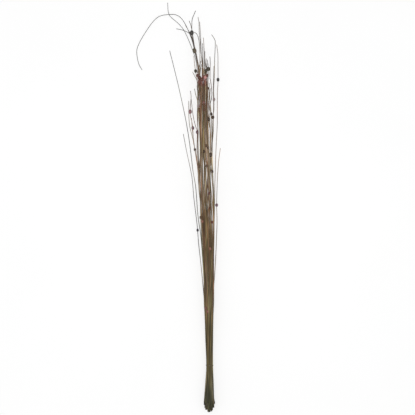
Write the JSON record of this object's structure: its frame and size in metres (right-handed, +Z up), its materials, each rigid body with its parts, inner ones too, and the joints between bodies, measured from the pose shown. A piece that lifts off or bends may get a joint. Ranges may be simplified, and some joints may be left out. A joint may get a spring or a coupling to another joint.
{
  "type": "dried ting ting bunch",
  "caption": "Bunch of long thin dried palm ribs with small beads, tied near the cut ends and lying flat, its tips fanning out and curling.",
  "frame": {"origin": "middle of the rectangle that the bunch covers, on the plane that it lies on", "axes": "+Y along the ribs from the cut ends towards the tips, +Z up off the plane, +X to the right seen from above with the tips away from the viewer"},
  "size_m": [0.2478, 1.202, 0.0532],
  "materials": {
    "olive_rib": "matt, dried, olive brown",
    "brown_rib": "matt, dried, brown",
    "red_brown_rib": "matt, dried, reddish brown",
    "tie_wire": "thin brown coated binding wire"
  },
  "bodies": {
    "root": {"rib_01": "brown_rib", "rib_02": "brown_rib", "rib_03": "olive_rib", "rib_04": "olive_rib", "rib_05": "brown_rib", "rib_06": "red_brown_rib", "rib_07": "red_brown_rib", "rib_08": "olive_rib", "rib_09": "brown_rib", "rib_10": "olive_rib", "rib_11": "olive_rib", "rib_12": "red_brown_rib", "rib_13": "red_brown_rib", "rib_14": "red_brown_rib", "rib_15": "brown_rib", "rib_16": "red_brown_rib", "rib_17": "brown_rib", "rib_18": "red_brown_rib", "rib_19": "brown_rib", "rib_20": "brown_rib", "rib_21": "olive_rib", "rib_22": "brown_rib", "rib_23": "olive_rib", "rib_24": "red_brown_rib", "rib_25": "olive_rib", "rib_26": "olive_rib", "rib_27": "brown_rib", "rib_28": "brown_rib", "rib_29": "olive_rib", "rib_30": "olive_rib", "rib_31": "brown_rib", "rib_32": "red_brown_rib", "rib_33": "red_brown_rib", "rib_34": "red_brown_rib", "rib_35": "olive_rib", "rib_36": "red_brown_rib", "rib_37": "brown_rib", "rib_38": "brown_rib", "rib_39": "olive_rib", "rib_40": "brown_rib", "rib_41": "red_brown_rib", "rib_42": "red_brown_rib", "rib_43": "olive_rib", "rib_44": "red_brown_rib", "rib_45": "olive_rib", "rib_46": "red_brown_rib", "rib_47": "olive_rib", "rib_48": "brown_rib", "rib_49": "olive_rib", "rib_50": "red_brown_rib", "rib_51": "olive_rib", "rib_52": "brown_rib", "rib_53": "brown_rib", "rib_54": "olive_rib", "rib_55": "brown_rib", "tie": "tie_wire"}
  },
  "joints": []
}
